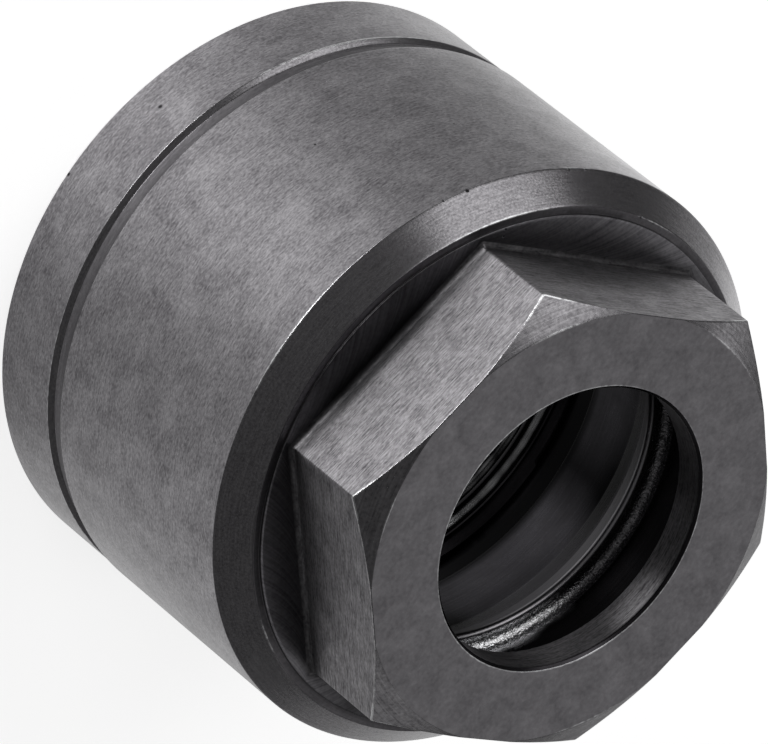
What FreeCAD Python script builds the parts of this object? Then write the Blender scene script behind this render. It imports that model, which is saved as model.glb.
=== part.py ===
"""Collet nut, a single turned and milled piece of blackened steel, modelled in millimetres.

The nut stands on its rear face, the one that the spindle enters, with its axis along +Z and the origin
at the centre of that face. The hexagon for the spanner is in front, at the top, with its flats square
to +Y and -Y. It is made in the order of the real one: the outside is turned, the bore is turned from
both ends, and the hexagon is milled last, down to a floor just above the turned shoulder.
"""
import FreeCAD, Part
import os

import Sketcher

# Every driving size in millimetres, or in degrees where the name says angle.
SIZES = {
    # Outside, from the rear face forwards
    "rear_edge_break": 0.2,
    "body_diameter": 43.5,
    "band_step": 0.1,
    "band_width": 6.0,
    "groove_width": 1.7,
    "groove_depth": 0.46,
    "groove_wall_angle": 45.0,
    "shoulder_height": 28.7,
    "bevel_width": 1.9,
    "bevel_height": 2.0,
    # Hexagon
    "hex_blank_diameter": 38.6,
    "floor_rise": 0.15,
    "hex_height": 8.6,
    "across_flats": 32.0,
    "hex_root_radius": 0.4,
    "hex_face_margin": 0.1,
    "hex_corner_angle": 30.0,
    "cutter_overrun": 1.0,
    # Thread, bored at its minor diameter, and the run-out groove at its inner end
    "rear_countersink": 1.0,
    "thread_minor_diameter": 31.4,
    "thread_length": 13.9,
    "thread_lead_angle": 45.0,
    "runout_depth": 1.2,
    "runout_width": 4.4,
    # Plain bore, which the collet's head enters through the thread, and the seat that presses on it
    "collet_bore_step": 0.1,
    "seat_width": 2.55,
    "seat_angle": 30.0,
    "seat_depth": 9.6,
    # Room for the collet's nose, and the front opening
    "nose_room_undercut": 1.55,
    "cove_radius": 0.85,
    "mouth_land": 2.5,
    "mouth_diameter": 21.1,
    "mouth_edge_break": 0.2,
}

FLAT_COUNT = 6

doc = FreeCAD.newDocument("collet_nut")


def make_sheet():
    """Puts the driving sizes in a spreadsheet, a name, a plain number and an alias to a row."""
    sheet = doc.addObject("Spreadsheet::Sheet", "Sizes")
    for row, (name, value) in enumerate(SIZES.items(), start=1):
        sheet.set(f"A{row}", name)
        sheet.set(f"B{row}", str(value))
        sheet.setAlias(f"B{row}", name)
    doc.recompute()
    return sheet


def origin_plane(body, role):
    """Returns one of the body's own origin planes."""
    return next(item for item in body.Origin.OriginFeatures if item.Role == role)


def new_sketch(body, name, role):
    """Adds a sketch on one of the body's origin planes."""
    sketch = body.newObject("Sketcher::SketchObject", name)
    sketch.AttachmentSupport = [(origin_plane(body, role), "")]
    sketch.MapMode = "FlatFace"
    return sketch


def add_size(sketch, constraint, expression):
    """Adds a dimension to a sketch and binds it to the spreadsheet."""
    index = sketch.addConstraint(constraint)
    sketch.setExpression(f"Constraints[{index}]", expression)


def value_of(expression):
    """Works out an expression on the spreadsheet, for the first place of a sketched corner."""
    result = doc.Sizes.evalExpression(expression.replace("Sizes.", ""))
    return float(getattr(result, "Value", result))


def draw_outline(sketch, corners, arcs=None):
    """Draws a closed outline of straight sides, with an arc after each corner that arcs names.

    A corner is a pair of expressions, its distance from the axis and its height. A side between two
    corners with the same expression is vertical or horizontal and carries no size of its own, and a
    corner on the axis or on the rear face is tied to it. An arc is the expression of its radius, and
    its centre lies level with the corner that it leaves.
    """
    arcs = arcs or {}
    places = [FreeCAD.Vector(value_of(x), value_of(y), 0) for x, y in corners]
    count = len(corners)
    for i, start in enumerate(places):
        end = places[(i + 1) % count]
        if i in arcs:
            centre = start - FreeCAD.Vector(value_of(arcs[i]), 0, 0)
            circle = Part.Circle(centre, FreeCAD.Vector(0, 0, 1), value_of(arcs[i]))
            sketch.addGeometry(Part.ArcOfCircle(circle, circle.parameter(end), circle.parameter(start)))
        else:
            sketch.addGeometry(Part.LineSegment(start, end))
    for i in range(count):
        after = (i + 1) % count
        leaves = 1 if i in arcs else 2
        enters = 2 if after in arcs else 1
        sketch.addConstraint(Sketcher.Constraint("Coincident", i, leaves, after, enters))
    for i, (x, y) in enumerate(corners):
        point = 2 if i in arcs else 1
        before_x, before_y = corners[i - 1]
        if x == "0":
            sketch.addConstraint(Sketcher.Constraint("PointOnObject", i, point, -2))
        elif x == before_x and i > 0:
            sketch.addConstraint(Sketcher.Constraint("Vertical", i - 1))
        else:
            add_size(sketch, Sketcher.Constraint("DistanceX", -1, 1, i, point, places[i].x), x)
        if y == "0":
            sketch.addConstraint(Sketcher.Constraint("PointOnObject", i, point, -1))
        elif y == before_y and i > 0:
            sketch.addConstraint(Sketcher.Constraint("Horizontal", i - 1))
        else:
            add_size(sketch, Sketcher.Constraint("DistanceY", -1, 1, i, point, places[i].y), y)
    for i, radius in arcs.items():
        sketch.addConstraint(Sketcher.Constraint("Horizontal", i, 3, i, 2))


def turn(body, kind, name, sketch):
    """Revolves a sketch about the nut's axis, to add it or to cut it away."""
    feature = body.newObject(kind, name)
    feature.Profile = sketch
    feature.ReferenceAxis = (sketch, ["V_Axis"])
    feature.Angle = 360
    return feature


def radius(name):
    """The expression for half a diameter of the sheet."""
    return f"Sizes.{name} / 2"


FRONT = "(Sizes.shoulder_height + Sizes.hex_height)"


def turn_outside(body):
    """The turned blank: rear band, ring groove with a sloping rear wall, body, bevel and hexagon's blank."""
    body_edge = radius("body_diameter")
    band_edge = f"({body_edge} - Sizes.band_step)"
    groove_floor = f"({body_edge} - Sizes.groove_depth)"
    groove_slope = f"({band_edge} - {groove_floor}) / tan(Sizes.groove_wall_angle * 1 deg)"
    groove_top = "(Sizes.band_width + Sizes.groove_width)"
    blank_edge = radius("hex_blank_diameter")
    face_edge = f"({radius('across_flats')} + Sizes.hex_face_margin)"
    corner_drop = f"({blank_edge} - {face_edge}) * tan(Sizes.hex_corner_angle * 1 deg)"
    corners = [
        ("0", "0"),
        (f"{band_edge} - Sizes.rear_edge_break", "0"),
        (band_edge, "Sizes.rear_edge_break"),
        (band_edge, "Sizes.band_width"),
        (groove_floor, f"Sizes.band_width + {groove_slope}"),
        (groove_floor, groove_top),
        (body_edge, groove_top),
        (body_edge, "Sizes.shoulder_height - Sizes.bevel_height"),
        (f"{body_edge} - Sizes.bevel_width", "Sizes.shoulder_height"),
        (blank_edge, "Sizes.shoulder_height"),
        (blank_edge, f"{FRONT} - {corner_drop}"),
        (face_edge, FRONT),
        ("0", FRONT),
    ]
    sketch = new_sketch(body, "OutsideSection", "XZ_Plane")
    draw_outline(sketch, corners)
    return turn(body, "PartDesign::Revolution", "TurnedOutside", sketch)


def turn_bore(body):
    """The bore: mouth and its land, room for the collet's nose, 30 degree seat, plain bore and thread."""
    mouth_edge = radius("mouth_diameter")
    thread_edge = radius("thread_minor_diameter")
    runout_floor = f"({thread_edge} + Sizes.runout_depth)"
    bore_wall = f"({thread_edge} - Sizes.collet_bore_step)"
    seat_lip = f"({bore_wall} - Sizes.seat_width)"
    nose_room_wall = f"({seat_lip} + Sizes.nose_room_undercut)"
    land_end = f"{FRONT} - Sizes.mouth_land"
    lip_height = f"({FRONT} - Sizes.seat_depth)"
    seat_length = "Sizes.seat_width / tan(Sizes.seat_angle * 1 deg)"
    lead_length = "Sizes.runout_depth / tan(Sizes.thread_lead_angle * 1 deg)"
    bore_end = "(Sizes.thread_length + Sizes.runout_width)"
    corners = [
        ("0", FRONT),
        (f"{mouth_edge} + Sizes.mouth_edge_break", FRONT),
        (mouth_edge, f"{FRONT} - Sizes.mouth_edge_break"),
        (mouth_edge, land_end),
        (nose_room_wall, land_end),
        (nose_room_wall, f"{lip_height} + Sizes.cove_radius"),
        (f"{nose_room_wall} - Sizes.cove_radius", lip_height),
        (seat_lip, lip_height),
        (bore_wall, f"{lip_height} - {seat_length}"),
        (bore_wall, bore_end),
        (runout_floor, bore_end),
        (runout_floor, f"Sizes.thread_length + {lead_length}"),
        (thread_edge, "Sizes.thread_length"),
        (thread_edge, "Sizes.rear_countersink"),
        (f"{thread_edge} + Sizes.rear_countersink", "0"),
        ("0", "0"),
    ]
    sketch = new_sketch(body, "BoreSection", "XZ_Plane")
    draw_outline(sketch, corners, arcs={5: "Sizes.cove_radius"})
    return turn(body, "PartDesign::Groove", "TurnedBore", sketch)


def mill_flat(body):
    """One flat, milled straight across the blank down to a floor just proud of the shoulder."""
    blank_edge = radius("hex_blank_diameter")
    past_blank = f"{blank_edge} + Sizes.cutter_overrun"
    corners = [
        (f"-{blank_edge}", radius("across_flats")),
        (blank_edge, radius("across_flats")),
        (blank_edge, past_blank),
        (f"-{blank_edge}", past_blank),
    ]
    sketch = new_sketch(body, "FlatPlan", "XY_Plane")
    sketch.AttachmentOffset = FreeCAD.Placement(FreeCAD.Vector(0, 0, value_of(FRONT)), FreeCAD.Rotation())
    sketch.setExpression("AttachmentOffset.Base.z", FRONT)
    draw_outline(sketch, corners)
    cut = body.newObject("PartDesign::Pocket", "MilledFlat")
    cut.Profile = sketch
    cut.setExpression("Length", "Sizes.hex_height - Sizes.floor_rise")
    cut.Reversed = False
    return cut


def repeat_flat(body, cut):
    """The hexagon: the milled flat repeated round the nut's axis."""
    hexagon = body.newObject("PartDesign::PolarPattern", "MilledHexagon")
    hexagon.Originals = [cut]
    hexagon.Axis = (cut.Profile[0], ["N_Axis"])
    hexagon.Angle = 360
    hexagon.Occurrences = FLAT_COUNT
    return hexagon


def round_hex_roots(body, hexagon):
    """The small radius that the cutter leaves where each flat meets the floor."""
    floor = value_of("Sizes.shoulder_height + Sizes.floor_rise")
    apothem = value_of("Sizes.across_flats / 2")
    names = []
    for number, edge in enumerate(hexagon.Shape.Edges, start=1):
        if edge.Curve.TypeId != "Part::GeomLine":
            continue
        level = all(abs(vertex.Point.z - floor) < 1e-4 for vertex in edge.Vertexes)
        middle = edge.CenterOfMass
        if level and abs((middle.x ** 2 + middle.y ** 2) ** 0.5 - apothem) < 1e-3:
            names.append(f"Edge{number}")
    if len(names) != FLAT_COUNT:
        raise RuntimeError(f"the hexagon has {len(names)} root edges instead of {FLAT_COUNT}")
    fillet = body.newObject("PartDesign::Fillet", "HexagonRoots")
    fillet.Base = (hexagon, names)
    fillet.setExpression("Radius", "Sizes.hex_root_radius")
    return fillet


def check_step(before, after, name, adds):
    """Stops the build if a feature took nothing away, or added nothing."""
    change = after - before
    if (change <= 0) if adds else (change >= 0):
        raise RuntimeError(f"{name} changed the volume by {change:.3f} cubic millimetres")


def make_nut():
    """Builds the nut as one body and returns it."""
    body = doc.addObject("PartDesign::Body", "ColletNut")
    body.Label = "collet_nut"
    outside = turn_outside(body)
    doc.recompute()
    blank_volume = outside.Shape.Volume
    bore = turn_bore(body)
    doc.recompute()
    bored_volume = bore.Shape.Volume
    check_step(blank_volume, bored_volume, bore.Name, adds=False)
    flat = mill_flat(body)
    doc.recompute()
    flat_volume = flat.Shape.Volume
    check_step(bored_volume, flat_volume, flat.Name, adds=False)
    hexagon = repeat_flat(body, flat)
    body.Tip = hexagon
    doc.recompute()
    milled_volume = hexagon.Shape.Volume
    check_step(flat_volume, milled_volume, hexagon.Name, adds=False)
    roots = round_hex_roots(body, hexagon)
    body.Tip = roots
    body.Placement = FreeCAD.Placement()
    doc.recompute()
    check_step(milled_volume, roots.Shape.Volume, roots.Name, adds=True)
    return body


def check_document():
    """Stops the build if any object of the document failed to recompute."""
    for item in doc.Objects:
        if "Invalid" in item.State or "Error" in item.State:
            raise RuntimeError(f"{item.Name} failed: {item.State}")


def check_shape(body):
    """Stops the build unless the body is one valid solid."""
    shape = body.Shape
    if shape.isNull() or not shape.isValid() or len(shape.Solids) != 1:
        raise RuntimeError(f"{body.Label} is not one valid solid")


make_sheet()
nut = make_nut()
check_document()
check_shape(nut)
os.makedirs("parts", exist_ok=True)
nut.Shape.exportStep(os.path.join("parts", f"{nut.Label}.step"))
box = nut.Shape.BoundBox
print(f"{nut.Label}: {box.XLength:.2f} x {box.YLength:.2f} x {box.ZLength:.2f} mm, {nut.Shape.Volume:.0f} mm3")
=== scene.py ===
"""The finish of a blackened steel collet nut, on a pale studio floor.

The nut is one turned and milled piece, so it is drawn as one closed skin: a section carried round the
axis, with a hexagon for the spanner, rounded and worn edges, and the helix of the thread inside.
"""

import bmesh
import bpy
import numpy as np
from mathutils import Matrix, Vector


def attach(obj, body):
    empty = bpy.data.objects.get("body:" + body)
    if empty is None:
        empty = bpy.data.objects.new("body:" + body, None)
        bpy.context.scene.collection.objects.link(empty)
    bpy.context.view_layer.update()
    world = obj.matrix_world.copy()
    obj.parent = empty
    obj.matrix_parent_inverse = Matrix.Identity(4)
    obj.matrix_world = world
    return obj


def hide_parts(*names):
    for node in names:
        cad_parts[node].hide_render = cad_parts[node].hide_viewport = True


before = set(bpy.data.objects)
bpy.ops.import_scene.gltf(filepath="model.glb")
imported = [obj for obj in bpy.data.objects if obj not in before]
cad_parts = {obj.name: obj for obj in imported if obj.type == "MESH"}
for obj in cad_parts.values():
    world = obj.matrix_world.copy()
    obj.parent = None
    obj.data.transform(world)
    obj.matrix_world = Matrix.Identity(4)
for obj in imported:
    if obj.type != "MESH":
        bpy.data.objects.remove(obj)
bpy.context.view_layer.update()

MM = 0.001
# A whole turn, and the angle that one side of the hexagon takes of it
TURN = 2 * np.pi
SIDES = 6
SIDE = TURN / SIDES

# The solid's sizes, in millimetres from the axis or from the rear face
BODY_RADIUS = 21.75
BAND_RADIUS = BODY_RADIUS - 0.1
GROOVE_RADIUS = BODY_RADIUS - 0.46
BAND_TOP = 6.0
GROOVE_FOOT = BAND_TOP + BAND_RADIUS - GROOVE_RADIUS
GROOVE_TOP = 7.7
SHOULDER = 28.7
CREST_RADIUS = BODY_RADIUS - 1.9
BEVEL_FOOT = SHOULDER - 2.0
FLOOR_RADIUS = 19.3
FLOOR = SHOULDER + 0.15
FRONT = SHOULDER + 8.6
FLAT_DISTANCE = 16.0
ROOT_RADIUS = 0.4
FACE_RADIUS = FLAT_DISTANCE + 0.1
CORNER_SLOPE = np.tan(np.radians(30))
MOUTH_RADIUS = 10.55
MOUTH_BREAK = 0.2
LAND_END = FRONT - 2.5
THREAD_MINOR = 15.7
BORE_RADIUS = THREAD_MINOR - 0.1
SEAT_WIDTH = 2.55
LIP_RADIUS = BORE_RADIUS - SEAT_WIDTH
NOSE_ROOM_RADIUS = LIP_RADIUS + 1.55
LIP = FRONT - 9.6
COVE_RADIUS = 0.85
SEAT_SLOPE = np.tan(np.radians(30))
SEAT_END = LIP - SEAT_WIDTH / SEAT_SLOPE
THREAD_END = 13.9
BORE_END = THREAD_END + 4.4
RUNOUT_RADIUS = THREAD_MINOR + 1.2
LEAD_END = THREAD_END + 1.2
MOUTH_OF_THREAD = THREAD_MINOR + 1.0
REAR_BREAK = 0.2

# The thread, M33 by 1.5
PITCH = 1.5
THREAD_DEPTH = 0.8
ROOT_FLAT = PITCH / 8
CREST_FLAT = PITCH / 4
FLANK = (PITCH - ROOT_FLAT - CREST_FLAT) / 2

# Each corner of the section: its rounding in millimetres, and how many rows divide the side after it
CORNERS = {
    "rear_edge": (0.03, 0), "rear_break": (0.05, 4), "band_edge": (0.06, 1), "groove_foot": (0.08, 1),
    "groove_root": (0.05, 0), "groove_edge": (0.1, 8), "body_edge": (0.08, 4), "crest": (0.06, 0),
    "shoulder_root": (0.02, 0), "floor_edge": (0.04, 3), "flat_edge": (0.05, 4), "face_edge": (0.05, 6),
    "rim": (0.02, 0), "rim_break": (0.02, 3), "land_edge": (0.03, 3), "nose_room_root": (0.2, 4),
    "lip": (0.3, 3), "burnish_end": (0, 1), "seat_shade_top": (0, 1), "seat_end": (0.08, 2),
    "bore_shade_foot": (0, 1), "bore_shade_end": (0, 0), "bore_end": (0.08, 0), "runout_root": (0.1, 2),
    "lead": (0, 0),
}
# The rest of the skin's rows and columns, and the distances of the rear face's rows from the axis.
# Columns whose angles agree to so many digits are one.
COLUMNS = 288
ANGLE_DIGITS = 9
ARC_ROWS = 3
COVE_ROWS = 9
REAR_ROWS = (18.0, 19.6, 21.2)
# A corner of the hexagon is rounded, and its chamfer is never narrower than the strip
CORNER_ROUND = 0.2
EDGE_STRIP = 0.06
# Wear and painted highlights beside a rounding end at a row this far from it, or at this share of a
# short side
GUARD = 0.16
GUARD_SHARE = 0.2
# Places closer than this, in metres, are one
MERGE = 1e-8

# Where edges are rubbed bright, each the middle, half the width in degrees and the strength. The
# narrow patches on the body, the band, the crest, the face and the rim are painted highlights as well
# as wear, and the cove's is a painted highlight
BODY_EDGE_WEAR_AND_SHINE = ((0, 180, 0.25), (281, 20, 0.65), (216, 7, 0.5), (130, 16, 0.7), (40, 9, 0.6))
BAND_EDGE_WEAR_AND_SHINE = ((0, 180, 0.4), (228, 26, 0.9), (140, 20, 0.6))
CREST_WEAR_AND_SHINE = ((237, 18, 0.8), (196, 9, 0.5), (95, 14, 0.7), (345, 8, 0.5))
FLAT_EDGE_WEAR = ((0, 180, 0.5), *((azimuth, 9, 1.0) for azimuth in range(0, 360, 360 // SIDES)))
FACE_EDGE_WEAR_AND_SHINE = ((0, 180, 0.25), (240, 12, 0.7), (302, 10, 0.6), (185, 10, 0.5), (60, 14, 0.6))
RIM_WEAR_AND_SHINE = ((60, 180, 0.6), (270, 100, 0.8), (62, 22, 0.9), (125, 22, 0.6), (12, 20, 0.7), (290, 18, 0.5))
COVE_HIGHLIGHT = ((57, 29, 1.0), (115, 40, 0.2))
# Edges that are rubbed evenly, and the painted highlight on the middle of the thread's flanks that
# face the mouth
REAR_EDGE_WEAR = 0.2
LAND_EDGE_WEAR = 0.3
FLANK_HIGHLIGHT = 0.75

# Painted shade lies in the root of the hexagon, less in the middle of its radius and on some of the
# sides. Each row's lift of the shade counts by the first share everywhere, and by the second as well
# on the lighter sides.
ROOT_SHADE_LIFT = (0.5, 0.6, 0.85, 0.9, 0.7, 0.85)
SHADE_LIFT_SHARES = (0.1, 0.85)
LIGHTER_ROOTS = ((330, 45, 1.0), (210, 50, 0.9), (90, 40, 0.6))
# Rows low on the flats: the height over the floor, the shares of the flat's painted shade and of the
# root's painted shade there, and how many rows divide the side above
FLAT_SHADE = ((210, 30, 0.45), (30, 30, 0.2))
FLAT_ROWS = ((0.75, 0.5, 0.75, 0), (1.3, 0.7, 0, 0), (3.0, 1.0, 0, 0), (5.5, 0, 0, 3))
# Painted shade beside the hexagon, in corners, and under the mouth's rim
FLOOR_SHADE = 0.75
GROOVE_SHADE = 0.5
SHOULDER_SHADE = 0.5
RUNOUT_SHADE = 0.9
RIM_SHADE = ((85, 75, 1.0),)
# Where the bore and the collet's seat are painted lighter, with less painted shade
BORE_LIGHTER = ((82, 27, 1.0), (140, 30, 0.6), (270, 120, 0.6))
SEAT_LIGHTER = ((95, 52, 1.0), (270, 120, 0.6))
# Their painted shade elsewhere. The cone has some painted shade of its own on the lighter sides too.
BORE_SHADE = 0.85
CONE_SHADE = 0.85
CONE_SHADE_EVENLY = 0.3
LIP_SHADE = 0.7
BURNISH_SHADE = 0.8
# Heights between which the painted shade changes: the collet burnishes the seat down to the first
BURNISH_END = 25.7
SEAT_SHADE_TOP = BURNISH_END - 0.7
BORE_SHADE_FOOT = BORE_END + 3.2
BORE_SHADE_END = BORE_END + 0.9

# The oxide's colours: rubbed through to the steel, which painted highlights on edges share, the cove's
# painted highlight, painted shade, and in a nick
BARE_STEEL_AND_SHEEN = "#d4d4d6"
COVE_HIGHLIGHT_STEEL = "#f8f8fa"
SHADE_COLOUR = "#161617"
NICK_COLOUR = "#2a292b"
# How far its tone and its gloss vary
TONE_REACH = 0.3
ROUGHNESS_REACH = 0.03
# Bare steel and painted highlights show where the wear times the noise of the flecks passes from the
# first to the second
BARE_FADE = (0.14, 0.36)
# How many finer octaves the noise has, and how far the clouds are drawn out of shape
MARK_DETAIL = 2.0
OXIDE_DETAIL = 3.0
CLOUD_DISTORTION = 0.6
# The lathe tool's way down the bevel and down the corner chamfer: outwards and up for each millimetre
BEVEL_WAY = (0.7, -0.7)
CHAMFER_WAY = (0.87, -0.5)
# The end mill's radius, and the turn that lays a flat's marks round the nut
MILL_RADIUS = 10.0
QUARTER_TURN = 0.25

# Nicks, each its azimuth, its distance from the axis, its height and its size in millimetres
NICKS = (
    (263.5, 21.65, 2.75, 0.22), (239, 21.7, 26.7, 0.16), (244, 21.7, 26.65, 0.12), (217, 21.7, 26.7, 0.2),
    (213.2, 21.7, 26.7, 0.17), (234.5, 19.16, 28.85, 0.12), (235, 18.67, 28.85, 0.1),
    (283.4, 21.65, 0.3, 0.2), (200.3, 19.85, 28.7, 0.15), (196.5, 19.85, 28.7, 0.18),
    (191.8, 19.9, 28.7, 0.15), (251, 21.75, 15.2, 0.13), (228, 21.75, 19.0, 0.1),
)
# Out to this share of its size a nick is wholly dark. Its depth counts in the relief of the tool's marks.
NICK_CORE = 0.4
NICK_DEPTH = 6.0

# The light: the room's, the paper's own where the camera sees it, and the paper's in reflections
WHITE = "#ffffff"
PAPER = "#e8e8e8"
ROOM_LIGHT = 0.11
PAPER_SEEN = 0.75
PAPER_GLOW = 0.2
# How far the paper reaches each way, in metres
PAPER_REACH = 3.0
# The paper's share of that inside the nut, which fades between these shares of the body's radius
PAPER_INSIDE = 0.35
INSIDE_FADE = (0.75, 0.98)
# Its share far away, and the distances in metres over which it fades
PAPER_FAR = 0.12
FAR_FADE = (0.05, 0.16)
# Each patch of painted glow on the paper, seen in reflections, is its azimuth, its extra strength and
# its sharpness
PAPER_GLOW_PATCHES = ((267, 0.82, 8.0), (125, 1.0, 3.0), (15, 0.32, 2.0))
# One more lies close to the nut and fades between these distances in metres
CLOSE_GLOW_PATCH = (195, 0.35, 9.0)
CLOSE_FADE = (0.0235, 0.029)
# The lamps: azimuth and elevation in degrees, power in watts, width and height in metres
LAMP_DISTANCE = 0.7
LAMPS = {
    "left_softbox": (200, 42, 1.2, 0.5, 0.5),
    "far_softbox": (99, 46, 0.31, 0.5, 0.5),
    "back_softbox": (130, 25, 0.17, 0.25, 0.25),
    "front_strip": (266, 5, 2.3, 0.45, 0.1),
    "right_card": (48, 28, 0.12, 0.35, 0.35),
}

# The camera: its long lens in pixels of a picture so many wide, its place in millimetres and its axes
PICTURE_WIDTH = 768
LENS_PIXELS = 10962.88
SENSOR_WIDTH = 36
CAMERA_PLACE = (59.734, -531.420, 539.254)
CAMERA_RIGHT = (-0.68434732, 0.47178949, 0.55595272)
CAMERA_UP = (-0.72473426, -0.52395458, -0.44747273)
CAMERA_BACK = (0.08018104, -0.70914474, 0.70048892)
CLIP_START = 0.01


def hexagon_corner(outset=0.0):
    """The rounding of the hexagon's corners: its centre's distance from the axis, and where it ends.

    The centre lies a rounding inside both sides, on the ray through the corner. The rounding ends at
    the angle from that ray where its radius is square to a side.
    """
    centre = (FLAT_DISTANCE + outset - CORNER_ROUND) / np.cos(SIDE / 2)
    end = np.arctan2(CORNER_ROUND * np.sin(SIDE / 2), centre + CORNER_ROUND * np.cos(SIDE / 2))
    return centre, end


def hexagon(angle, outset=0.0):
    """Distance from the axis to a hexagon whose corners are rounded, the first one at angle zero.

    A side lies at its distance over the cosine of the angle from its middle. In a corner it is the far
    crossing of the ray with the circle that touches both sides. An outset moves every side outwards.
    """
    beside = angle % SIDE
    from_corner = np.minimum(beside, SIDE - beside)
    straight = (FLAT_DISTANCE + outset) / np.cos(SIDE / 2 - from_corner)
    centre, end = hexagon_corner(outset)
    across = np.maximum(CORNER_ROUND ** 2 - (centre * np.sin(from_corner)) ** 2, 0)
    rounded = centre * np.cos(from_corner) + np.sqrt(across)
    return np.where(from_corner < end, rounded, straight)


def column_angles():
    """Even angles round the nut, with closer ones beside each corner and where the chamfer narrows."""
    even = np.arange(COLUMNS) * TURN / COLUMNS
    corners = np.arange(SIDES) * SIDE
    end = hexagon_corner()[1]
    narrows = SIDE / 2 - np.arccos(FLAT_DISTANCE / (FACE_RADIUS + EDGE_STRIP))
    near = np.array([end / 2, end, 2 * end, narrows])
    beside = (corners[:, None] + np.concatenate([near, -near])).ravel()
    return np.unique(np.round(np.concatenate([even, beside]) % TURN, ANGLE_DIGITS))


def off_root(height, angle):
    """How far up from the middle of the nearest root a place on the thread is, in millimetres.

    The thread's roots lie where the height in pitches less the angle in turns is whole.
    """
    turns = height / PITCH - angle / TURN
    return ((turns + 0.5) % 1 - 0.5) * PITCH


def thread_radius(height, angle):
    """The thread's groove, its lead-in and its countersink: the deepest of the three at each place.

    Across a pitch the groove has a flat root, two straight flanks and a flat crest at the minor radius.
    """
    up_flank = (np.abs(off_root(height, angle)) - ROOT_FLAT / 2) / FLANK
    depth = np.clip(1 - up_flank, 0, 1) * THREAD_DEPTH
    lead = height - THREAD_END
    countersink = MOUTH_OF_THREAD - THREAD_MINOR - height
    return THREAD_MINOR + np.maximum(depth, np.maximum(lead, countersink))


def round_patches(angle, patches):
    """How strong wear, painted highlight and painted shade are round the nut: the highest of some
    patches, each 1 minus a square.

    A patch is its middle and half its width in degrees, and its strength.
    """
    worn_and_lit = np.zeros_like(angle)
    for middle, half_width, strength in patches:
        off = np.abs((np.degrees(angle) - middle + 180) % 360 - 180)
        worn_and_lit = np.maximum(worn_and_lit, strength * np.clip(1 - (off / half_width) ** 2, 0, 1))
    return worn_and_lit


def on_seat(height):
    """The seat's distance from the axis: the lip's, and the slope times the way down from the lip."""
    return LIP_RADIUS + (LIP - height) * SEAT_SLOPE


def corner(name, distance, height, worn_and_lit, finish):
    """A corner of the section, with the rounding and the rows that its name has in CORNERS."""
    rounding, rows = CORNERS[name]
    return distance, height, rounding, worn_and_lit, finish, rows


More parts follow.
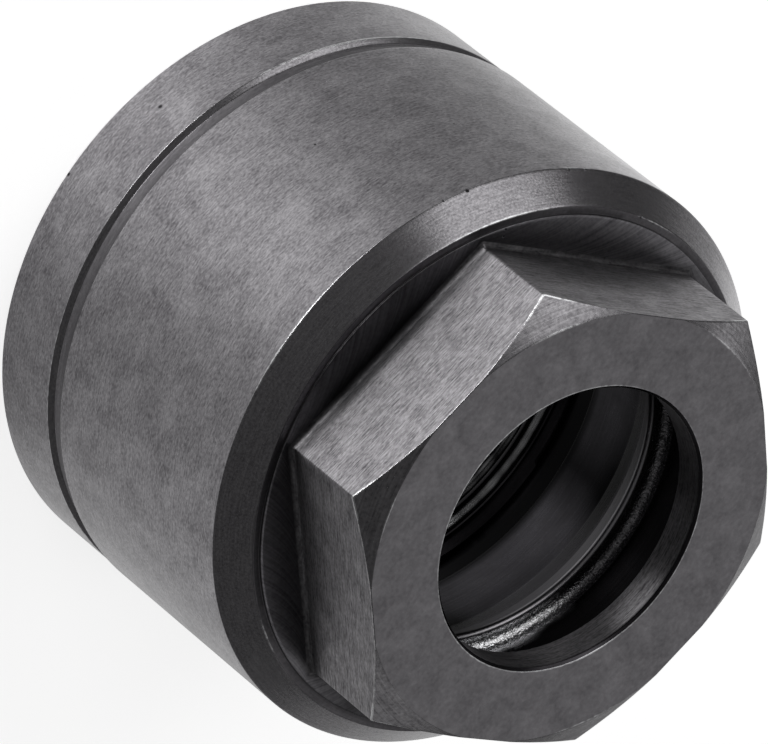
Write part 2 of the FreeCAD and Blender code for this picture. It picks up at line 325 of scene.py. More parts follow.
def section(angle):
    """Corners of the section from the rear face round to the thread's lead-in, at every column.

    Each is its distance from the axis, its height, the radius of its rounding, how far its edge is worn
    and lit by painted highlight (0 to 1, or below 0 where shade is painted), and the finish and the
    number of rows that divide the side that follows it. The root beside the hexagon and the cove behind
    the lip are quarter circles: the centre plus the radius times the sine and cosine of the sweep.
    """
    flat = hexagon(angle)
    chamfer = np.maximum(flat - FACE_RADIUS, EDGE_STRIP)
    # Painted shade round the nut: in the hexagon's root, low on some flats and beside the hexagon, lighter on
    # some sides
    lighter = round_patches(angle, LIGHTER_ROOTS)
    shade = -round_patches(angle, FLAT_SHADE)
    # Painted shade in the bore, on the cone and on the seat, lighter on some sides
    bore_shade = BORE_SHADE * (round_patches(angle, BORE_LIGHTER) - 1)
    cone_shade = CONE_SHADE * (round_patches(angle, BORE_LIGHTER) - 1) - CONE_SHADE_EVENLY
    seat_shade = round_patches(angle, SEAT_LIGHTER) - 1
    everywhere, on_lighter = SHADE_LIFT_SHARES
    root = [
        (hexagon(angle, ROOT_RADIUS * (1 - np.sin(t))), FLOOR + ROOT_RADIUS * (1 - np.cos(t)), 0,
         lift * (everywhere + on_lighter * lighter) - 1, "flat", 0)
        for t, lift in zip(np.linspace(0, TURN / 4, len(ROOT_SHADE_LIFT)), ROOT_SHADE_LIFT)
    ]
    low_on_flat = [
        (flat, FLOOR + up, 0, shade * share + shading * (lighter - 1), "flat", rows)
        for up, share, shading, rows in FLAT_ROWS
    ]
    # The cove's rows carry a painted highlight on one side of the nut
    cove_centre = NOSE_ROOM_RADIUS - COVE_RADIUS
    cove = [
        (cove_centre + COVE_RADIUS * np.cos(t), LIP + COVE_RADIUS * (1 - np.sin(t)), 0,
         round_patches(angle, COVE_HIGHLIGHT), "cove", 0)
        for t in np.linspace(0, TURN / 4, COVE_ROWS)
    ]
    # Below 0 the wear is painted shade; the narrow edge patches are wear and painted highlight
    return [
        corner("rear_edge", BAND_RADIUS - REAR_BREAK, 0, REAR_EDGE_WEAR, "band"),
        corner("rear_break", BAND_RADIUS, REAR_BREAK, REAR_EDGE_WEAR, "band"),
        corner("band_edge", BAND_RADIUS, BAND_TOP, round_patches(angle, BAND_EDGE_WEAR_AND_SHINE), "groove_wall"),
        corner("groove_foot", GROOVE_RADIUS, GROOVE_FOOT, 0, "groove"),
        corner("groove_root", GROOVE_RADIUS, GROOVE_TOP, -GROOVE_SHADE, "groove"),
        corner("groove_edge", BODY_RADIUS, GROOVE_TOP, 0, "body"),
        corner("body_edge", BODY_RADIUS, BEVEL_FOOT, round_patches(angle, BODY_EDGE_WEAR_AND_SHINE), "bevel"),
        corner("crest", CREST_RADIUS, SHOULDER, round_patches(angle, CREST_WEAR_AND_SHINE), "shoulder"),
        corner("shoulder_root", FLOOR_RADIUS, SHOULDER, -SHOULDER_SHADE, "shoulder"),
        corner("floor_edge", FLOOR_RADIUS, FLOOR, FLOOR_SHADE * (lighter - 1), "floor"),
        *root,
        *low_on_flat,
        corner("flat_edge", flat, FRONT - chamfer * CORNER_SLOPE, round_patches(angle, FLAT_EDGE_WEAR), "chamfer"),
        corner("face_edge", flat - chamfer, FRONT, round_patches(angle, FACE_EDGE_WEAR_AND_SHINE), "face"),
        corner("rim", MOUTH_RADIUS + MOUTH_BREAK, FRONT, round_patches(angle, RIM_WEAR_AND_SHINE), "mouth_break"),
        corner("rim_break", MOUTH_RADIUS, FRONT - MOUTH_BREAK, -round_patches(angle, RIM_SHADE), "land"),
        corner("land_edge", MOUTH_RADIUS, LAND_END, LAND_EDGE_WEAR, "nose_room"),
        corner("nose_room_root", NOSE_ROOM_RADIUS, LAND_END, 0, "nose_room"),
        *cove,
        corner("lip", LIP_RADIUS, LIP, LIP_SHADE * seat_shade, "seat_band"),
        corner("burnish_end", on_seat(BURNISH_END), BURNISH_END, BURNISH_SHADE * seat_shade, "bore"),
        corner("seat_shade_top", on_seat(SEAT_SHADE_TOP), SEAT_SHADE_TOP, cone_shade, "bore"),
        corner("seat_end", BORE_RADIUS, SEAT_END, np.maximum(cone_shade, -1), "bore"),
        corner("bore_shade_foot", BORE_RADIUS, BORE_SHADE_FOOT, bore_shade, "bore"),
        corner("bore_shade_end", BORE_RADIUS, BORE_SHADE_END, bore_shade, "bore"),
        corner("bore_end", BORE_RADIUS, BORE_END, -1, "runout"),
        corner("runout_root", RUNOUT_RADIUS, BORE_END, -RUNOUT_SHADE, "runout"),
        corner("lead", RUNOUT_RADIUS, LEAD_END, -RUNOUT_SHADE, "thread"),
    ]


def round_corner(before, place, after, radius):
    """The places on a corner's rounding: its centre plus the radius turned from one side to the other."""
    towards = [side - place for side in (before, after)]
    towards = [side / np.linalg.norm(side, axis=0) for side in towards]
    half = np.arccos(np.clip((towards[0] * towards[1]).sum(0), -1, 1)) / 2
    middle = towards[0] + towards[1]
    middle = middle / np.linalg.norm(middle, axis=0)
    centre = place + middle * radius / np.sin(half)
    spokes = [place + side * radius / np.tan(half) - centre for side in towards]
    blends = [spokes[0] * (1 - t) + spokes[1] * t for t in np.linspace(0, 1, ARC_ROWS)]
    return [centre + radius * blend / np.linalg.norm(blend, axis=0) for blend in blends]


def section_rows(angle):
    """Rows of the section at every column: distance and height, wear with painted light, and finish.

    A row of a side lies at the side's start plus its share of the way to the side's end. Wear and its
    painted highlights stay on the rounding of its corner, and painted shade runs evenly from one shaded
    corner to the next.
    """
    spread = np.ones_like(angle)
    corners = section(angle)
    places = [np.array([distance * spread, height * spread]) for distance, height, *_ in corners]
    rear = np.array([MOUTH_OF_THREAD * spread, 0 * spread])
    rows, wear_and_light, finish = [], [], []
    for i, (_, _, radius, worn_and_lit, side, extra) in enumerate(corners):
        before = places[i - 1] if i else rear
        after = places[i + 1] if i + 1 < len(places) else places[i]
        arc = round_corner(before, places[i], after, radius) if radius else [places[i]]
        rows += arc
        wear_and_light += [worn_and_lit * spread] * len(arc)
        finish += [side] * len(arc)
        if i + 1 == len(places):
            break
        _, _, next_radius, next_worn_and_lit, _, _ = corners[i + 1]
        end = after
        if next_radius:
            following = places[i + 2] if i + 2 < len(places) else after
            end = round_corner(places[i], after, following, next_radius)[0]
        start = arc[-1]
        shaded = (worn_and_lit <= 0) & (next_worn_and_lit <= 0)
        shading, next_shading = np.where(shaded, worn_and_lit, 0), np.where(shaded, next_worn_and_lit, 0)
        length = np.linalg.norm(end - start, axis=0)
        guard = np.minimum(GUARD / length, GUARD_SHARE)
        shares = [spread * t for t in np.linspace(0, 1, extra + 2)[1:-1]]
        if radius:
            shares = [guard] + [guard + (1 - guard) * t for t in shares]
        if next_radius:
            shares = [share * (1 - guard) for share in shares] + [1 - guard]
        rows += [start + (end - start) * share for share in shares]
        wear_and_light += [shading * (1 - share) + next_shading * share for share in shares]
        finish += [side] * len(shares)
    return np.array(rows), np.array(wear_and_light), finish


def thread_rows(angle):
    """Rows that climb with the helix, cut off at the lead-in and at the rear face.

    A row lies at the lead-in's height, plus a pitch for a full turn, less its own share of the pitches
    down. At the last column it has climbed to where an earlier one starts at the first column. Their
    painted highlight is highest in the middle of a flank, and falls to nothing half a flank away.
    """
    steps = np.array([0, ROOT_FLAT, FLANK, FLANK, CREST_FLAT, CREST_FLAT, FLANK, FLANK]) / 2
    breaks = np.cumsum(steps)
    turns = int(np.ceil(LEAD_END / PITCH)) + 2
    first = np.ceil(LEAD_END / PITCH) * PITCH
    down = (np.arange(turns)[:, None] * PITCH + breaks).ravel()
    heights = np.clip(first + PITCH * angle / TURN - down[:, None], 0, LEAD_END)
    off_middle = np.abs(off_root(heights, angle) + (ROOT_FLAT + FLANK) / 2) / (FLANK / 2)
    # Painted highlight on the middle of the flanks that face the mouth
    wear_and_light = FLANK_HIGHLIGHT * np.clip(1 - off_middle, 0, 1) * (heights < THREAD_END)
    return np.stack([thread_radius(heights, angle), heights], axis=1), wear_and_light, len(breaks)


def skin_faces(row_count, columns, thread_start, thread_end, per_turn):
    """The skin's faces, each between two rows and two columns. The last of each joins the first.

    The rows of the thread climb a pitch in a turn, so there the last column joins the rows of the first
    one that lie a turn's rows higher up.
    """
    row = np.arange(row_count)
    column = np.arange(columns)
    beside = (column + 1) % columns
    this_row = np.repeat(row[:, None], columns, axis=1)
    next_row = np.repeat((row + 1)[:, None] % row_count, columns, axis=1)
    this_side, next_side = this_row.copy(), next_row.copy()
    climbing = (row >= thread_start) & (row < thread_end - 1)
    this_side[climbing, -1] = np.maximum(row[climbing] - per_turn, thread_start)
    next_side[climbing, -1] = np.maximum(row[climbing] + 1 - per_turn, thread_start)
    near = [this_row * columns + column, next_row * columns + column]
    far = [this_side * columns + beside, next_side * columns + beside]
    return np.stack([near[0], far[0], far[1], near[1]], axis=-1).reshape(-1, 4)


def make_nut():
    """The skin: rows of the section by columns round the axis, joined into one closed surface.

    A place is the row's distance times the cosine and sine of the column's angle, at the row's height.
    """
    angle = column_angles()
    count = len(angle)
    spread = np.ones_like(angle)
    outside, outside_wear_and_light, finish = section_rows(angle)
    helix, helix_wear_and_light, per_turn = thread_rows(angle)
    rear = np.array([[distance * spread, 0 * spread] for distance in (MOUTH_OF_THREAD, *REAR_ROWS)])
    rows = np.concatenate([outside, helix, rear])
    wear_and_light = np.concatenate([outside_wear_and_light, helix_wear_and_light, np.zeros((len(rear), count))])
    finish = finish + ["thread"] * len(helix) + ["rear"] * len(rear)
    x = rows[:, 0] * np.cos(angle)
    y = rows[:, 0] * np.sin(angle)
    places = np.stack([x, y, rows[:, 1]], axis=-1).reshape(-1, 3) * MM
    faces = skin_faces(len(rows), count, len(outside), len(outside) + len(helix), per_turn)

    mesh = bpy.data.meshes.new("nut_surface")
    mesh.from_pydata(places, [], faces)
    mesh.attributes.new("wear_and_light", "FLOAT", "POINT").data.foreach_set("value", wear_and_light.ravel())
    number = np.array([FINISHES.index(name) for name in finish])
    mesh.polygons.foreach_set("material_index", np.repeat(number, count).astype(np.int32))
    mesh.polygons.foreach_set("use_smooth", np.ones(len(faces), bool))

    skin = bmesh.new()
    skin.from_mesh(mesh)
    bmesh.ops.remove_doubles(skin, verts=skin.verts, dist=MERGE)
    bmesh.ops.recalc_face_normals(skin, faces=skin.faces)
    skin.to_mesh(mesh)
    skin.free()
    return bpy.data.objects.new("nut_surface", mesh)


def linear(code):
    """An sRGB hex colour as linear light, by the two parts of the sRGB curve."""
    shares = [int(code[i : i + 2], 16) / 255 for i in (1, 3, 5)]
    return [s / 12.92 if s <= 0.04045 else ((s + 0.055) / 1.055) ** 2.4 for s in shares] + [1.0]


def add(tree, kind, feeds=None, **settings):
    """Adds a node with its settings, and feeds its sockets with values or with other nodes' outputs."""
    made = tree.nodes.new(kind)
    for name, value in settings.items():
        setattr(made, name, value)
    for socket, value in (feeds or {}).items():
        if isinstance(value, bpy.types.NodeSocket):
            tree.links.new(value, made.inputs[socket])
        else:
            made.inputs[socket].default_value = value
    return made


def new_material(name):
    """A material whose node tree is empty."""
    material = bpy.data.materials.new(name)
    material.use_nodes = True
    material.node_tree.nodes.clear()
    return material, material.node_tree


def in_millimetres(tree):
    """Where a point of the nut lies, in millimetres.

    The level is its place without its height, and the distance from the axis is the level's length.
    """
    place = add(tree, "ShaderNodeTexCoord").outputs["Object"]
    place = add(tree, "ShaderNodeVectorMath", {0: place, "Scale": 1 / MM}, operation="SCALE").outputs[0]
    level = add(tree, "ShaderNodeVectorMath", {0: place, 1: (1, 1, 0)}, operation="MULTIPLY").outputs[0]
    distance = add(tree, "ShaderNodeVectorMath", {0: level}, operation="LENGTH").outputs["Value"]
    height = add(tree, "ShaderNodeSeparateXYZ", {0: place}).outputs[2]
    return {"place": place, "level": level, "distance": distance, "height": height}


def lathe_feed(tree, point, outwards, upwards):
    """How far the lathe's tool had moved over the surface, in millimetres, by its shares each way."""
    out = add(tree, "ShaderNodeMath", {0: point["distance"], 1: outwards}, operation="MULTIPLY").outputs[0]
    return add(
        tree, "ShaderNodeMath", {0: point["height"], 1: upwards, 2: out}, operation="MULTIPLY_ADD"
    ).outputs[0]


def along_axis(tree, point):
    """The tool moved along the axis."""
    return lathe_feed(tree, point, 0, 1)


def from_axis(tree, point):
    """The tool moved outwards over a face."""
    return lathe_feed(tree, point, 1, 0)


def down_bevel(tree, point):
    """The tool moved down the bevel."""
    return lathe_feed(tree, point, *BEVEL_WAY)


def down_chamfer(tree, point):
    """The tool moved down the hexagon's corner chamfer."""
    return lathe_feed(tree, point, *CHAMFER_WAY)


def mill_feed(tree, point):
    """How far the end mill had moved along the nearest flat, in millimetres.

    Its rim leaves arcs of its own radius c on the floor, centred c in front of the flat. With n the
    distance from the axis square to the flat and t the distance along it, an arc is where
    t + sqrt(c^2 - (n - flat - c)^2) stays the same.
    """
    axes = add(tree, "ShaderNodeSeparateXYZ", {0: point["place"]}).outputs
    angle = add(tree, "ShaderNodeMath", {0: axes[1], 1: axes[0]}, operation="ARCTAN2").outputs[0]
    beside = add(tree, "ShaderNodeMath", {0: angle, 1: SIDE}, operation="FLOORED_MODULO").outputs[0]
    off = add(tree, "ShaderNodeMath", {0: beside, 1: SIDE / 2}, operation="SUBTRACT").outputs[0]
    cosine = add(tree, "ShaderNodeMath", {0: off}, operation="COSINE").outputs[0]
    sine = add(tree, "ShaderNodeMath", {0: off}, operation="SINE").outputs[0]
    from_centre = add(
        tree,
        "ShaderNodeMath",
        {0: point["distance"], 1: cosine, 2: -(FLAT_DISTANCE + MILL_RADIUS)},
        operation="MULTIPLY_ADD",
    ).outputs[0]
    squared = add(tree, "ShaderNodeMath", {0: from_centre, 1: from_centre}, operation="MULTIPLY").outputs[0]
    rest = add(tree, "ShaderNodeMath", {0: MILL_RADIUS ** 2, 1: squared}, operation="SUBTRACT").outputs[0]
    arc = add(tree, "ShaderNodeMath", {0: rest}, operation="SQRT").outputs[0]
    return add(
        tree, "ShaderNodeMath", {0: point["distance"], 1: sine, 2: arc}, operation="MULTIPLY_ADD"
    ).outputs[0]


def nick_share(tree, point):
    """1 away from every nick and 0 in its core: the distance to the nearest nick over the nick's size."""
    nearest = 1.0
    for azimuth, distance, height, size in NICKS:
        a = np.radians(azimuth)
        at = (distance * np.cos(a), distance * np.sin(a), height)
        off = add(
            tree, "ShaderNodeVectorMath", {0: point["place"], 1: at}, operation="DISTANCE"
        ).outputs["Value"]
        off = add(tree, "ShaderNodeMath", {0: off, 1: 1 / size}, operation="MULTIPLY").outputs[0]
        nearest = add(tree, "ShaderNodeMath", {0: off, 1: nearest}, operation="MINIMUM").outputs[0]
    return add(tree, "ShaderNodeMapRange", {"Value": nearest, "From Min": NICK_CORE}).outputs[0]


def black_oxide(name, feed, dark, light, roughness, pitch, length, lines, grain, speckle, clouds,
                cloud_size=3.0, depth=0.004, flecks=2.6, lay=0.0, bare_and_sheen=BARE_STEEL_AND_SHEEN):
    """Blackened steel: lines left by the tool, fine speckle and cloudy patches of the oxide.

    The tone is the lines, the speckle and the clouds, each noise times its share, and runs from dark to
    light. Lines are a pitch apart and of a length, and clouds are of a size, all in millimetres. The
    grain is how many speckles there are to a millimetre each way, and flecks how many there are on worn
    edges, where the steel is bare, and on painted highlights, which take the bare colour. Where the wear
    is below 0 the colour turns to painted shade. The depth is the relief's, in millimetres. The lay is
    how much more the marks spread light across themselves than along, which is round the nut.
    """
    material, tree = new_material(name)
    point = in_millimetres(tree)
    # The tool's lines are quick along its feed and slow round the nut
    slow = add(
        tree, "ShaderNodeVectorMath", {0: point["level"], "Scale": 1 / length}, operation="SCALE"
    ).outputs[0]
    quick = add(tree, "ShaderNodeMath", {0: feed(tree, point), 1: 1 / pitch}, operation="MULTIPLY").outputs[0]
    quick = add(tree, "ShaderNodeCombineXYZ", {2: quick}).outputs[0]
    along = add(tree, "ShaderNodeVectorMath", {0: slow, 1: quick}, operation="ADD").outputs[0]
    ridges = add(
        tree, "ShaderNodeTexNoise", {"Vector": along, "Scale": 1.0, "Detail": MARK_DETAIL}
    ).outputs[0]
    stretched = add(
        tree, "ShaderNodeVectorMath", {0: point["place"], 1: grain}, operation="MULTIPLY"
    ).outputs[0]
    grains = add(
        tree, "ShaderNodeTexNoise", {"Vector": stretched, "Scale": 1.0, "Detail": OXIDE_DETAIL}
    ).outputs[0]
    patches = add(
        tree,
        "ShaderNodeTexNoise",
        {
            "Vector": point["place"],
            "Scale": 1 / cloud_size,
            "Detail": OXIDE_DETAIL,
            "Distortion": CLOUD_DISTORTION,
        },
    ).outputs[0]
    marks = add(tree, "ShaderNodeMath", {0: ridges, 1: lines}, operation="MULTIPLY").outputs[0]
    marks = add(
        tree, "ShaderNodeMath", {0: grains, 1: speckle, 2: marks}, operation="MULTIPLY_ADD"
    ).outputs[0]
    tone = add(tree, "ShaderNodeMath", {0: patches, 1: clouds, 2: marks}, operation="MULTIPLY_ADD").outputs[0]
    middle = (lines + speckle + clouds) / 2
    share = add(
        tree,
        "ShaderNodeMapRange",
        {"Value": tone, "From Min": middle - TONE_REACH, "From Max": middle + TONE_REACH},
    ).outputs[0]

    # Nicks, worn edges that are chipped bare, painted highlights in the same bare colour, and painted
    # shade where the wear is below 0
    whole = nick_share(tree, point)
    worn_and_lit = add(tree, "ShaderNodeAttribute", attribute_name="wear_and_light").outputs["Fac"]
    fleck_noise = add(
        tree, "ShaderNodeTexNoise", {"Vector": point["place"], "Scale": flecks, "Detail": MARK_DETAIL}
    ).outputs[0]
    chips_and_sheen = add(tree, "ShaderNodeMath", {0: worn_and_lit, 1: fleck_noise}, operation="MULTIPLY").outputs[0]
    chips_and_sheen = add(
        tree, "ShaderNodeMapRange", {"Value": chips_and_sheen, "From Min": BARE_FADE[0], "From Max": BARE_FADE[1]}
    ).outputs[0]
    shaded = add(tree, "ShaderNodeMapRange", {"Value": worn_and_lit, "From Min": 0.0, "From Max": -1.0}).outputs[0]

    colour = add(
        tree, "ShaderNodeMix", {0: share, 6: linear(dark), 7: linear(light)}, data_type="RGBA"
    ).outputs[2]
    colour = add(
        tree, "ShaderNodeMix", {0: whole, 6: linear(NICK_COLOUR), 7: colour}, data_type="RGBA"
    ).outputs[2]
    for amount, over in ((chips_and_sheen, bare_and_sheen), (shaded, SHADE_COLOUR)):
        colour = add(
            tree, "ShaderNodeMix", {0: amount, 6: colour, 7: linear(over)}, data_type="RGBA"
        ).outputs[2]
    gloss = add(
        tree,
        "ShaderNodeMapRange",
        {"Value": share, "To Min": roughness + ROUGHNESS_REACH, "To Max": roughness - ROUGHNESS_REACH},
    ).outputs[0]
    raised = add(
        tree, "ShaderNodeMath", {0: whole, 1: NICK_DEPTH, 2: marks}, operation="MULTIPLY_ADD"
    ).outputs[0]
    relief = add(tree, "ShaderNodeBump", {"Height": raised, "Distance": depth * MM}).outputs[0]
    around = add(tree, "ShaderNodeTangent", direction_type="RADIAL", axis="Z").outputs[0]
    steel = add(
        tree,
        "ShaderNodeBsdfPrincipled",
        {
            "Base Color": colour,
            "Metallic": 1.0,
            "Roughness": gloss,
            "Normal": relief,
            "Anisotropic": lay,
            "Anisotropic Rotation": QUARTER_TURN,
            "Tangent": around,
        },
    )
    add(tree, "ShaderNodeOutputMaterial", {"Surface": steel.outputs[0]})
    return material


FINISHES = [
    "band", "groove_wall", "groove", "body", "bevel", "shoulder", "floor", "flat", "chamfer", "face",
    "mouth_break", "land", "nose_room", "cove", "seat_band", "bore", "runout", "thread", "rear",
]
# Every finish is alloy steel, machined and then blackened in a hot salt bath and oiled. The oxide is a
# thousandth of a millimetre thick: the eye gets a dark grey metal that still mirrors the studio softly,
# with the tool's marks under it. Its crystals are far too fine to show, so the speckle stands for them
# at a tenth to a third of a millimetre, and the clouds are stains of the rinse and of handling.
STEELS = {
    # Turned with a fine feed, 0.14 mm a turn, which shows as short, faint lines round the nut
    "body": black_oxide(
        "turned_black_oxide_steel", along_axis, "#5c5a5d", "#9d9b9e", 0.28,
        pitch=0.14, length=1.5, lines=0.45, grain=(3.6, 3.6, 8), speckle=1.0, clouds=0.55, cloud_size=2.6,
    ),
    # Cut by a grooving tool, and drawn darker and more even as painted shade in the groove
    "groove": black_oxide(
        "dim_turned_black_oxide_steel", along_axis, "#525053", "#7b797c", 0.28,
        pitch=0.2, length=3.0, lines=0.5, grain=(2.6, 2.6, 6.5), speckle=0.6, clouds=0.3,
    ),
    # The finest turning, 0.1 mm a turn, which gives the sharpest reflections of the outside
    "bevel": black_oxide(
        "bevelled_black_oxide_steel", down_bevel, "#646265", "#a19fa2", 0.24,
        pitch=0.1, length=2.0, lines=0.55, grain=(6, 6, 8), speckle=0.9, clouds=0.2,
    ),
    # A narrow turned step beside the hexagon, drawn dark as painted shade, and dull
    "shoulder": black_oxide(
        "shaded_dull_black_oxide_steel", from_axis, "#4a484b", "#6c6a6d", 0.32,
        pitch=0.15, length=4.0, lines=0.4, grain=(4, 4, 4), speckle=0.6, clouds=0.3,
    ),
    # The end mill's face leaves long arcs. Real ones are 0.1 mm apart, drawn at 0.28 mm so that they show
    "floor": black_oxide(
        "milled_floor_black_oxide_steel", mill_feed, "#504e52", "#9c9a9e", 0.3,
        pitch=0.28, length=12.0, lines=0.7, grain=(4, 4, 4), speckle=0.4, clouds=0.3,
    ),
    # The end mill's side leaves streaks along a flat, under 0.05 mm apart, drawn at 0.1 mm so that they
    # show. They spread light across themselves, so a flat shines evenly from end to end
    "flat": black_oxide(
        "milled_flat_black_oxide_steel", along_axis, "#504e51", "#aba9ac", 0.4,
        pitch=0.1, length=1.6, lines=0.9, grain=(3.4, 3.4, 9), speckle=0.7, clouds=0.4, cloud_size=1.8,
        lay=0.9,
    ),
    # Turned across the hexagon's corners in an interrupted cut, so the lines stand out
    "chamfer": black_oxide(
        "chamfered_black_oxide_steel", down_chamfer, "#605e61", "#a09ea1", 0.26,
        pitch=0.12, length=3.0, lines=0.7, grain=(4, 4, 4), speckle=0.75, clouds=0.3, cloud_size=1.4,
    ),
    # Faced and handled: hardly a line is left, and the oxide is cloudy
    "face": black_oxide(
        "faced_black_oxide_steel", from_axis, "#646265", "#8c8a8d", 0.3,
        pitch=0.3, length=3.0, lines=0.1, grain=(3.5, 3.5, 3.5), speckle=0.55, clouds=0.6, cloud_size=1.6,
    ),
    # Bored smooth, with long faint lines. Most of its darkness is painted shade and the dark thread behind it
    "bore": black_oxide(
        "bored_black_oxide_steel", along_axis, "#5e5c60", "#807e84", 0.28,
        pitch=0.15, length=8.0, lines=0.5, grain=(4, 4, 6), speckle=0.3, clouds=0.6,
    ),
    # The thread and the hidden room are drawn dark as painted shade, and only the flanks that face the
    # mouth carry a painted highlight
    "thread": black_oxide(
        "shaded_black_oxide_steel", along_axis, "#222123", "#3c3a3d", 0.26,
        pitch=0.2, length=8.0, lines=0.5, grain=(4, 4, 6), speckle=0.3, clouds=0.6, flecks=0.5,
    ),
    # The cove's torn grain carries a painted highlight of bright steel on one side of the nut. The grain
    # is some hundredths of a millimetre, drawn at a sixth so that it shows, with a relief to match
    "cove": black_oxide(
        "grainy_black_oxide_steel", along_axis, "#2c2b2d", "#c4c2c6", 0.27,
        pitch=0.2, length=4.0, lines=0.1, grain=(6, 6, 6), speckle=1.0, clouds=0.3, cloud_size=1.2,
        depth=0.055, flecks=4.0, bare_and_sheen=COVE_HIGHLIGHT_STEEL,
    ),
    # Burnished by the collet, so nearly bare steel with its turned lines worn long
    "seat_band": black_oxide(
        "burnished_black_oxide_steel", along_axis, "#a09ea2", "#c8c6ca", 0.3,
        pitch=0.2, length=8.0, lines=0.8, grain=(4, 4, 6), speckle=0.3, clouds=0.2,
    ),
}
# Finishes that are cut as another one is, and the mouth's break, the hidden room and the runout,
# which take the thread's dark steel as painted shade
SHARED = {
    "band": "body", "groove_wall": "bevel", "mouth_break": "thread", "land": "flat",
    "nose_room": "thread", "runout": "thread", "rear": "face",
}

nut = make_nut()
bpy.context.scene.collection.objects.link(nut)
for finish in FINISHES:
    nut.data.materials.append(STEELS[SHARED.get(finish, finish)])
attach(nut, "root")
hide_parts("collet_nut")


def glow_towards(tree, towards, azimuth, sharpness):
    """How much of a patch's glow reaches a direction: max(0, cos(angle - azimuth))^sharpness."""
    a = np.radians(azimuth)
    facing = add(
        tree, "ShaderNodeVectorMath", {0: towards, 1: (np.cos(a), np.sin(a), 0)}, operation="DOT_PRODUCT"
    ).outputs["Value"]
    facing = add(tree, "ShaderNodeMath", {0: facing, 1: 0.0}, operation="MAXIMUM").outputs[0]
    return add(tree, "ShaderNodeMath", {0: facing, 1: sharpness}, operation="POWER").outputs[0]


def glowing_paper():
    """Smooth white paper: matt, white where the camera sees it, and clear from below.

    In the steel's reflections it glows, a painted reflection that is brightest in front of the nut:
    strength = evenly + the sum over the patches of glow * max(0, cos(angle - azimuth))^sharpness,
    less under the nut and inside it, and less far away from it.
    """
    material, tree = new_material("white_paper")
    paper = add(tree, "ShaderNodeBsdfDiffuse", {"Color": linear(PAPER)}).outputs[0]
    place = add(tree, "ShaderNodeTexCoord").outputs["Object"]
    towards = add(tree, "ShaderNodeVectorMath", {0: place}, operation="NORMALIZE").outputs[0]
    away = add(tree, "ShaderNodeVectorMath", {0: place}, operation="LENGTH").outputs["Value"]
    path = add(tree, "ShaderNodeLightPath").outputs
    seen, mirrored = path["Is Camera Ray"], path["Is Glossy Ray"]
    fades = [
        {"From Min": CLOSE_FADE[0], "From Max": CLOSE_FADE[1], "To Min": 1.0, "To Max": 0.0},
        {
            "From Min": INSIDE_FADE[0] * BODY_RADIUS * MM,
            "From Max": INSIDE_FADE[1] * BODY_RADIUS * MM,
            "To Min": PAPER_INSIDE,
        },
        {"From Min": FAR_FADE[0], "From Max": FAR_FADE[1], "To Min": 1.0, "To Max": PAPER_FAR},
    ]
    close, outside, far = [
        add(tree, "ShaderNodeMapRange", {"Value": away, **fade}).outputs[0] for fade in fades
    ]

    # The painted reflection: the paper's glow in the steel, brighter in patches
    strength = PAPER_GLOW
    for azimuth, glow, sharpness in PAPER_GLOW_PATCHES:
        patch = glow_towards(tree, towards, azimuth, sharpness)
        strength = add(
            tree, "ShaderNodeMath", {0: patch, 1: glow, 2: strength}, operation="MULTIPLY_ADD"
        ).outputs[0]
    azimuth, glow, sharpness = CLOSE_GLOW_PATCH
    patch = glow_towards(tree, towards, azimuth, sharpness)
    patch = add(tree, "ShaderNodeMath", {0: patch, 1: close}, operation="MULTIPLY").outputs[0]
    strength = add(
        tree, "ShaderNodeMath", {0: patch, 1: glow, 2: strength}, operation="MULTIPLY_ADD"
    ).outputs[0]
    strength = add(tree, "ShaderNodeMath", {0: strength, 1: mirrored}, operation="MULTIPLY").outputs[0]
    strength = add(
        tree, "ShaderNodeMath", {0: seen, 1: PAPER_SEEN, 2: strength}, operation="MULTIPLY_ADD"
    ).outputs[0]
    near = add(tree, "ShaderNodeMath", {0: far, 1: seen}, operation="MAXIMUM").outputs[0]
    strength = add(tree, "ShaderNodeMath", {0: strength, 1: outside}, operation="MULTIPLY").outputs[0]
    strength = add(tree, "ShaderNodeMath", {0: strength, 1: near}, operation="MULTIPLY").outputs[0]
    glow = add(tree, "ShaderNodeEmission", {"Color": linear(WHITE), "Strength": strength}).outputs[0]
    both = add(tree, "ShaderNodeAddShader", {0: paper, 1: glow}).outputs[0]
    behind = add(tree, "ShaderNodeNewGeometry").outputs["Backfacing"]
    clear = add(tree, "ShaderNodeBsdfTransparent").outputs[0]
    shown = add(tree, "ShaderNodeMixShader", {0: behind, 1: both, 2: clear}).outputs[0]
    add(tree, "ShaderNodeOutputMaterial", {"Surface": shown})
    return material


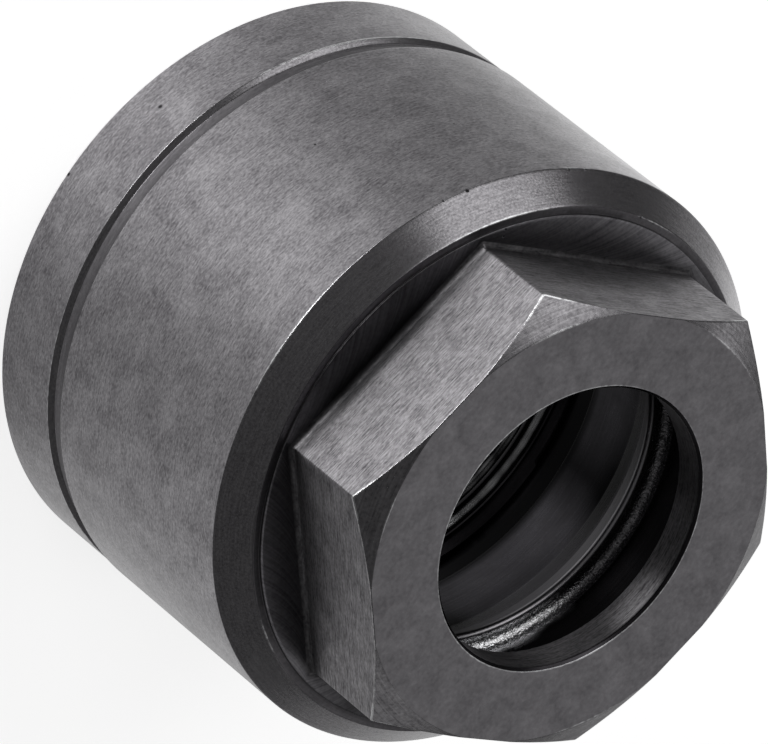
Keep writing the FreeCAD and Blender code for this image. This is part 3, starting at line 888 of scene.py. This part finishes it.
def make_floor():
    """A pale, square floor under the nut."""
    mesh = bpy.data.meshes.new("studio_floor")
    corners = [(x * PAPER_REACH, y * PAPER_REACH, 0) for x, y in ((-1, -1), (1, -1), (1, 1), (-1, 1))]
    mesh.from_pydata(corners, [], [(0, 1, 2, 3)])
    mesh.materials.append(glowing_paper())
    floor = bpy.data.objects.new("studio_floor", mesh)
    bpy.context.scene.collection.objects.link(floor)
    return floor


make_floor()


def make_world():
    """Even, pale surroundings that are white where the camera sees them."""
    world = bpy.data.worlds.new("studio")
    bpy.context.scene.world = world
    world.use_nodes = True
    tree = world.node_tree
    tree.nodes.clear()
    seen = add(tree, "ShaderNodeLightPath").outputs["Is Camera Ray"]
    strength = add(
        tree, "ShaderNodeMapRange", {"Value": seen, "To Min": ROOM_LIGHT, "To Max": 1.0}
    ).outputs[0]
    light = add(tree, "ShaderNodeBackground", {"Color": linear(WHITE), "Strength": strength}).outputs[0]
    add(tree, "ShaderNodeOutputWorld", {"Surface": light})


make_world()


def add_lamp(name, azimuth, elevation, power, wide, tall):
    """A soft lamp aimed at the middle of the nut, placed by its direction from there."""
    lamp = bpy.data.lights.new(name, "AREA")
    lamp.shape = "RECTANGLE"
    lamp.size = wide
    lamp.size_y = tall
    lamp.energy = power
    holder = bpy.data.objects.new(name, lamp)
    bpy.context.scene.collection.objects.link(holder)
    a, e = np.radians([azimuth, elevation])
    out = Vector((np.cos(a) * np.cos(e), np.sin(a) * np.cos(e), np.sin(e)))
    aim = Vector((0, 0, FRONT / 2 * MM))
    turned = out.to_track_quat("Z", "Y").to_matrix().to_4x4()
    holder.matrix_world = Matrix.Translation(aim + out * LAMP_DISTANCE) @ turned


for lamp_name, settings in LAMPS.items():
    add_lamp(lamp_name, *settings)


def make_camera():
    """A long lens in front of the hexagon's side, rolled as the photograph is."""
    lens = bpy.data.cameras.new("camera")
    lens.sensor_width = SENSOR_WIDTH
    lens.lens = LENS_PIXELS / PICTURE_WIDTH * SENSOR_WIDTH
    lens.clip_start = CLIP_START
    camera = bpy.data.objects.new("camera", lens)
    bpy.context.scene.collection.objects.link(camera)
    turned = Matrix((CAMERA_RIGHT, CAMERA_UP, CAMERA_BACK)).transposed().to_4x4()
    camera.matrix_world = Matrix.Translation(Vector(CAMERA_PLACE) * MM) @ turned
    bpy.context.scene.camera = camera


make_camera()
bpy.context.scene.view_settings.view_transform = "Standard"
